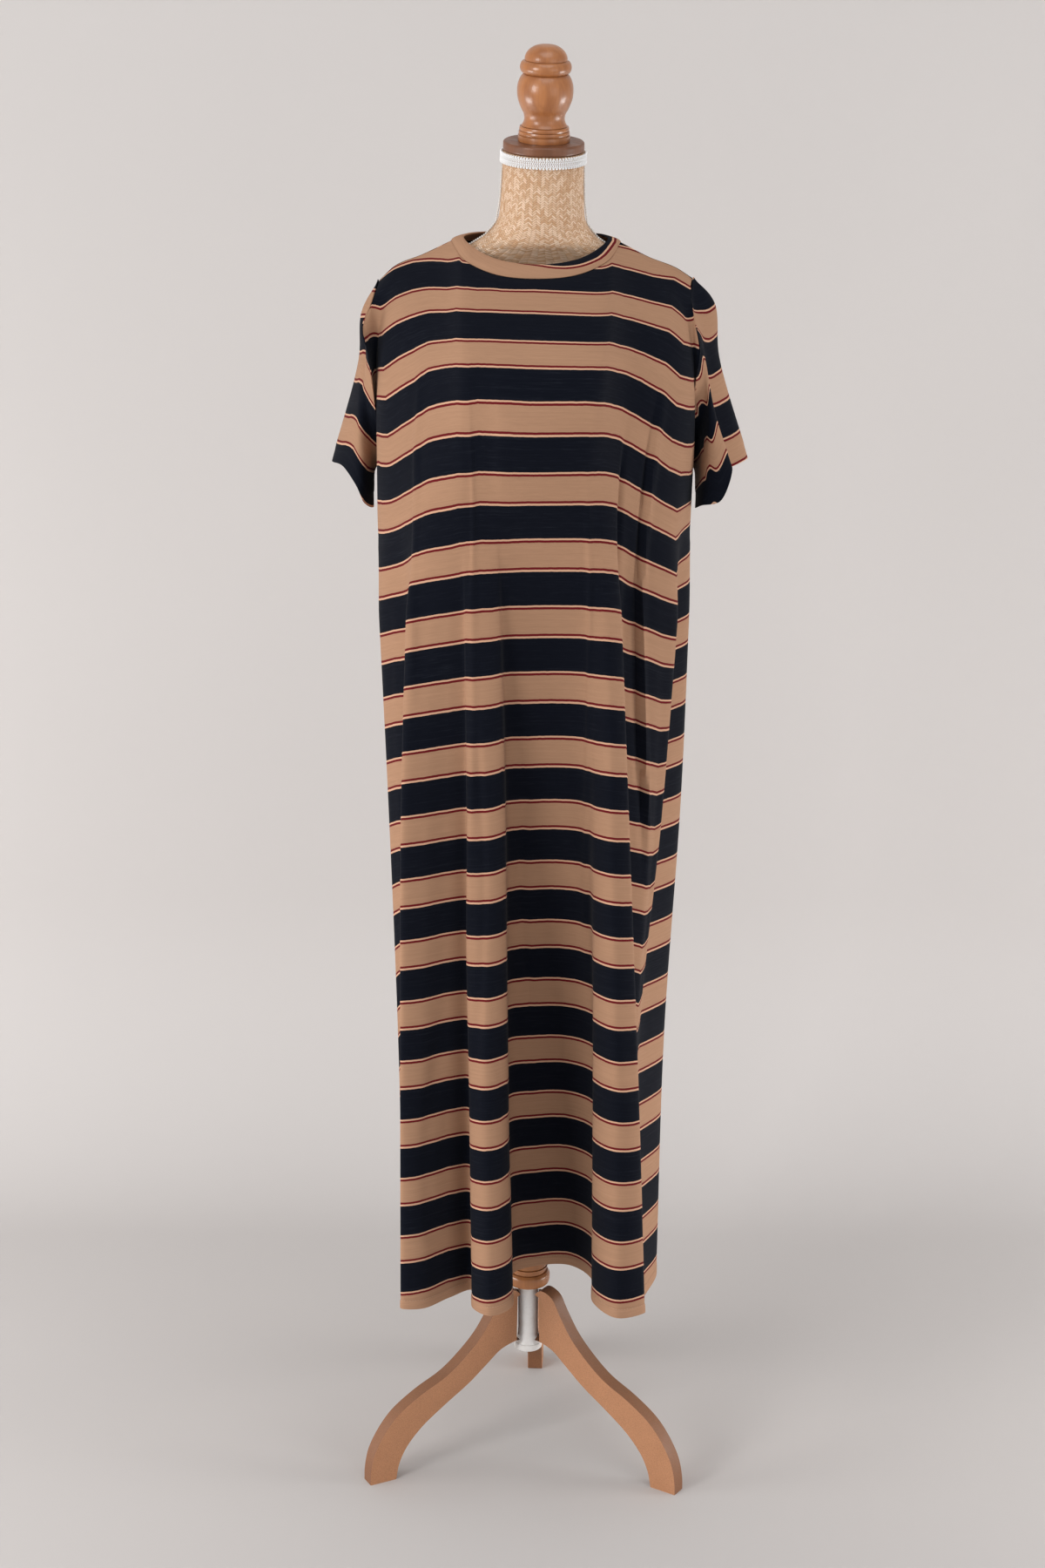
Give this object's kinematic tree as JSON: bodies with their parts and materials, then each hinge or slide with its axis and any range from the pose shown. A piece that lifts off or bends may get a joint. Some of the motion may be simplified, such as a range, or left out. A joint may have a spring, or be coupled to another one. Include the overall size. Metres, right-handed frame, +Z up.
{
  "type": "t-shirt dress on dress form",
  "caption": "Long striped t-shirt dress hanging in soft folds on a limbless dress form with a turned wooden cap and a splayed wooden stand.",
  "frame": {"origin": "centre of the footprint on the floor, at the middle of the bounding box", "axes": "+Z up; the wearer's front faces -Y, and +X is to the right of someone looking at the front"},
  "size_m": [0.4606, 0.4388, 1.6877],
  "materials": {
    "striped_jersey": "fine cotton jersey, wide navy and tan stripes edged in cream and dark red, matt with a slight soft sheen",
    "striped_rib": "doubled jersey neckband, tan with dark red and navy stripe ends, matt",
    "jute_cloth": "coarse herringbone jute cover, matt",
    "gimp_braid": "white gimp braid with scalloped edges, matt",
    "dark_wood": "dark brown stained wood, satin",
    "warm_wood": "turned and polished orange-brown wood",
    "white_metal": "white painted tube, satin",
    "fibreboard": "bare medium-density fibreboard, matt, darker on the cut edges"
  },
  "bodies": {
    "root": {"dress_front": "striped_jersey", "dress_back": "striped_jersey", "sleeve_left": "striped_jersey", "sleeve_right": "striped_jersey", "neckband": "striped_rib", "form_torso": "jute_cloth", "neck_braid": "gimp_braid", "neck_cap": "dark_wood", "finial": "warm_wood", "column": "warm_wood", "hub_ring": "warm_wood", "hub_tube": "white_metal", "leg_left": "fibreboard", "leg_right": "fibreboard", "leg_back": "fibreboard"}
  },
  "joints": []
}
